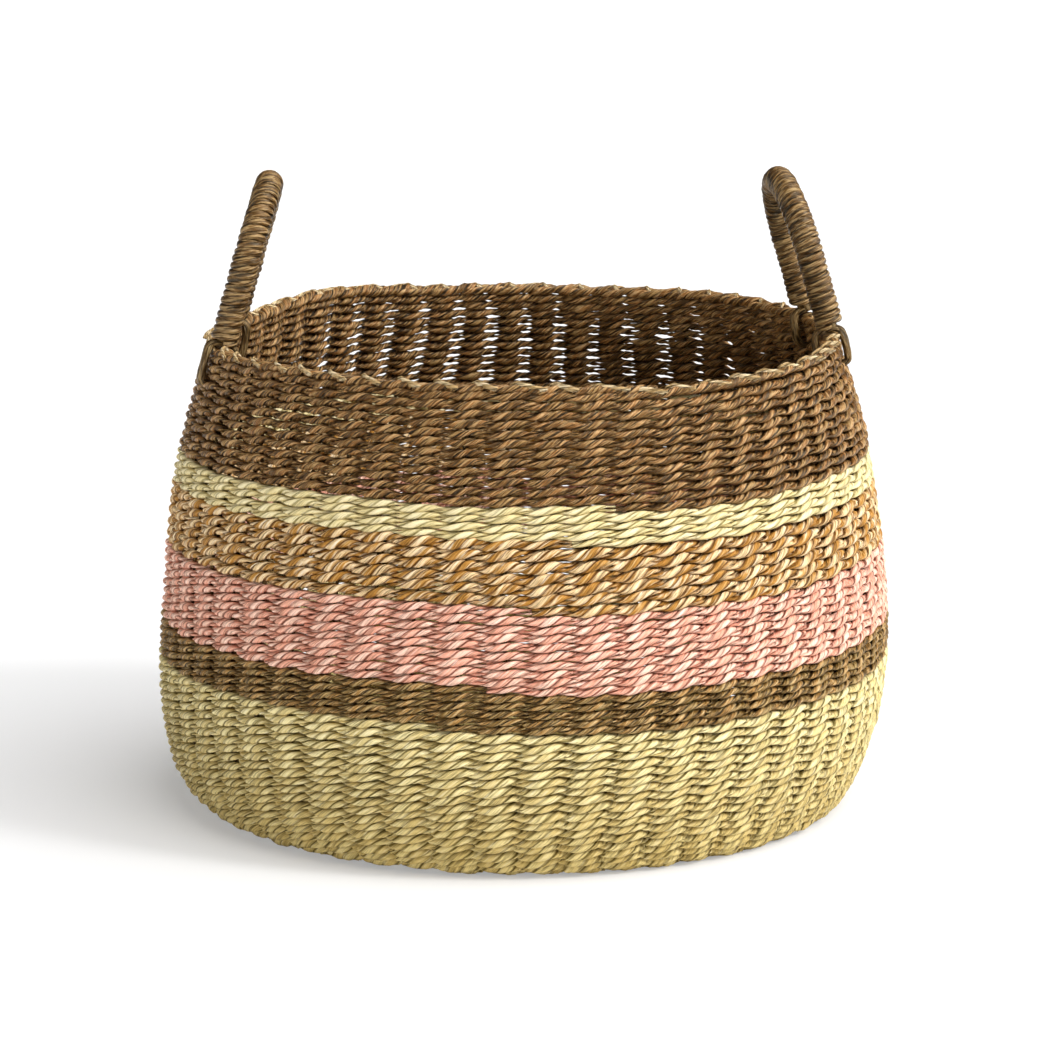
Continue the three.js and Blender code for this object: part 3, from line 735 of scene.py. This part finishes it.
def folded_ends():
    """The stakes' ends, three flat strands to each. A strand comes up by its stake, bends over to
    the right and lies along the top of the border. Its way out, up and round is a smooth line
    through a few points, and seeded random numbers vary its length, its height and how far it
    reaches out. At the back they lie lower and further out."""
    chance = np.random.default_rng(40)
    points = np.array(END_PATH)
    points = np.concatenate([[2 * points[0] - points[1]], points, [2 * points[-1] - points[-2]]])
    line = smooth_line(points, np.linspace(0, len(END_PATH) - 1 - 1e-6, END_POINTS))
    strand = np.tile(np.arange(ENDS), STAKES)[:, None] - 1
    number = np.repeat(np.arange(STAKES), ENDS)[:, None]

    def vary(low, high):
        """A random factor for each stake, a little different for each of its strands."""
        of_stake = chance.uniform(low, high, (STAKES, 1)).repeat(ENDS, 0)
        return of_stake * chance.uniform(*END_DIFFERENCE, (ENDS * STAKES, 1))

    length = vary(*END_LENGTHS)
    start = (number + 0.5) * STAKE_GAP
    turn = start + strand * END_APART / RIM_RADIUS + line[:, 2] * length
    round_share = (start - BORDER_START) % (2 * np.pi) / (2 * np.pi)
    back = BACK_LOWER * at_back(turn) * risen(line[:, 2], 0, BENT_OVER)
    up = WEFT_TOP + BORDER_CLIMB * round_share + line[:, 1] * vary(*END_HEIGHTS)
    up = up + strand * END_HIGHER - back
    out = line[:, 0] * vary(*END_REACHES) + strand * END_FURTHER_OUT + back
    return wall(turn, up, out)


straw_paper = paper_material("straw_paper", "e8cd9c", "c29f68", "6a5024", creases=4, fibres=3,
                             patches=2.4)
paths = folded_ends()
rings, run = corded(paths, np.array([[END_SIDE]]), END_HALF_HEIGHT, END_HALF_WIDTH, END_LAY,
                    corners=6)
piece = tubes("folded_ends", rings, run + ENDS_APART * np.arange(len(paths))[:, None])
finish(piece, straw_paper, "stake_cord")

# Handles
# Each is a bundle of paper strands bent to a hoop, with a cord wound close round it from foot to
# foot. At each foot the strands go over the border, in through the wall and back out under it.

LEG_GAPS = 2  # between stakes, from a handle's middle to each of its feet
CORE_RADIUS = 0.0043
CORE_POINTS = 60
CORE_CORNERS = 10
WRAP_HALF = 0.0021  # half of the cord's thickness
WRAP_TURNS = 55
WRAP_POINTS = 22  # in one turn
WRAP_LAY = 0.04
WRAP_GROOVE = 0.06
WRAP_COVER = 0.56  # half of the cord's width, of the way from one turn to the next
WRAP_NARROWEST, WRAP_WIDEST = 0.0013, 0.003
UNEVEN_TURNS = 0.0022  # of the way from foot to foot
UNEVEN_BULGE = 0.00035
UNEVEN_WIDTH = 0.18
STRAND_LEVEL = 0.0076  # of the strands' tops over the weft
STRANDS = 4  # at each foot
STRAND_POINTS = 56
STRAND_SPREAD = 0.0025  # how far a strand wanders to each side
STRAND_LIFT = 0.1  # of its distance from the wall, by which it passes over the others
STRAND_HALF_SIDE, STRAND_HALF_OTHER = 0.002, 0.0017
STRAND_LAY = 0.04
STRAND_GROOVE = 0.12
STRANDS_APART = 0.7  # metres of the paper's pattern from one strand to the next
FOOT_RADIUS = 0.186  # of the wall at the handles' feet
handle_core_paper = paper_material("handle_core_paper", "664a21", "523a19", "180d02", creases=6,
                                   fibres=5, roughness=0.42, shine=0.6)
handle_wrap_paper = paper_material("handle_wrap_paper", "6a481e", "543817", "140a02", creases=10,
                                   fibres=7, patches=1, roughness=0.36, shine=0.7, relief=0.0022)


def hoop(azimuth, lean, tall, share, ring_radius, angle):
    """Points round a handle's centre line, which is two straight legs and half a circle in a plane
    that leans over the basket. share runs from foot to foot, and angle from the side away from the
    middle."""
    cos, sin = np.cos(azimuth), np.sin(azimuth)
    foot = wall(azimuth + LEG_GAPS * STAKE_GAP, WEFT_TOP + STRAND_LEVEL, 0) - [MOUTH_RIGHT, 0, 0]
    foot = foot @ np.array([[cos, -sin, 0], [sin, cos, 0], [0, 0, 1]])
    crown = foot[1]
    leg = tall - crown
    total = 2 * leg + np.pi * crown
    distance = share * total
    turn = np.clip((distance - leg) / crown, 0, np.pi)
    height = np.minimum(np.minimum(distance, leg), total - distance)
    reach = crown + ring_radius * np.cos(angle)
    along_y = -reach * np.cos(turn)
    up = height + reach * np.sin(turn)
    side = ring_radius * np.sin(angle)
    x = foot[0] - up * np.sin(lean) + side * np.cos(lean)
    z = foot[2] + up * np.cos(lean) + side * np.sin(lean)
    return np.stack([x * cos - along_y * sin + MOUTH_RIGHT, x * sin + along_y * cos, z], -1)


def uneven_turns(winding, chance, amount):
    """Random values up to the amount at every half turn of the cord, joined by straight lines."""
    knots = np.arange(0, WRAP_TURNS + 1, 0.5)
    return amount * np.interp(winding, knots, chance.uniform(-1, 1, len(knots)))


# The way of a strand round the wall: out of its middle, and up over the weft's top
STRAND_PATH = [(0.0, 0.0074), (0.004, 0.0076), (0.0076, 0.0054), (0.0086, 0.0),
               (0.0086, -0.0065), (0.0084, -0.0125), (0.0075, -0.017), (0.0035, -0.019),
               (-0.0035, -0.019), (-0.0075, -0.017), (-0.009, -0.011), (-0.009, -0.004),
               (-0.0088, 0.001), (-0.0076, 0.0054), (-0.004, 0.0076)]

# hand is the way that the cord is wound, bare the share of the hoop that it leaves bare at each
# foot, and drop how deep under the border the strands go.
for side, azimuth, lean, tall, hand, bare, drop in (
    ("left", np.pi, np.radians(16), 0.092, 1, 0.004, 1),
    ("right", STAKE_GAP, np.radians(16.2), 0.0885, -1, 0.016, 0.75),
):
    placed = azimuth, lean, tall
    share = np.linspace(0, 1, CORE_POINTS)
    centre = hoop(*placed, share, 0 * share, 0)
    around = 2 * np.pi * np.arange(CORE_CORNERS) / CORE_CORNERS
    rings = hoop(*placed, share[:, None], CORE_RADIUS, around[None])
    piece = tubes(side + "_core", rings[None], run_length(centre)[None])
    finish(piece, handle_core_paper, "handle_core", side + "_handle_core")

    t = np.linspace(0, len(STRAND_PATH), STRAND_POINTS, endpoint=False)
    points = np.array(STRAND_PATH)
    line = smooth_line(np.concatenate([points[-1:], points, points[:2]]), t)
    line[:, 1] *= np.where(line[:, 1] < 0, drop, 1)
    strands = []
    for leg in (-1, 1):
        for strand in range(STRANDS):
            phase = 2 * np.pi * (t / len(STRAND_PATH) + strand / STRANDS)
            spread = STRAND_SPREAD * np.cos(phase) / FOOT_RADIUS
            lift = 1 + STRAND_LIFT * np.sin(phase)
            turn = azimuth + leg * LEG_GAPS * STAKE_GAP + spread
            strands.append(wall(turn, WEFT_TOP + line[:, 1], line[:, 0] * lift))
    strands = np.array(strands)
    outward = np.zeros_like(strands)
    outward[..., 1] = np.cos(azimuth)
    outward[..., 0] = -np.sin(azimuth)
    rings, run = corded(strands, outward, STRAND_HALF_SIDE, STRAND_HALF_OTHER, STRAND_LAY,
                        groove=STRAND_GROOVE)
    run = run + STRANDS_APART * np.arange(len(strands))[:, None]
    piece = tubes(side + "_strands", rings, run, looped=True)
    finish(piece, handle_core_paper, "handle_core")

    chance = np.random.default_rng(50 + hand)
    share = np.linspace(bare, 1 - bare, WRAP_TURNS * WRAP_POINTS)
    winding = np.linspace(0, WRAP_TURNS, WRAP_TURNS * WRAP_POINTS)
    angle = hand * 2 * np.pi * winding
    share = share + uneven_turns(winding, chance, UNEVEN_TURNS) * np.sin(np.pi * share)
    radius = CORE_RADIUS + WRAP_HALF + uneven_turns(winding, chance, UNEVEN_BULGE)
    centre = hoop(*placed, share, radius, angle)
    middle = hoop(*placed, share, 0 * share, 0 * share)
    step = 0.5 / WRAP_TURNS
    pitch = hoop(*placed, share + step, radius, angle) - hoop(*placed, share - step, radius, angle)
    half_width = WRAP_COVER * np.linalg.norm(pitch, axis=-1)
    half_width = half_width * (1 + uneven_turns(winding, chance, UNEVEN_WIDTH))
    half_width = np.clip(half_width, WRAP_NARROWEST, WRAP_WIDEST)
    rings, run = corded(centre[None], (centre - middle)[None], WRAP_HALF, half_width[None],
                        WRAP_LAY, groove=WRAP_GROOVE)
    piece = tubes(side + "_wrap", rings, run)
    finish(piece, handle_wrap_paper, "handle_wrap", side + "_handle_wrap")
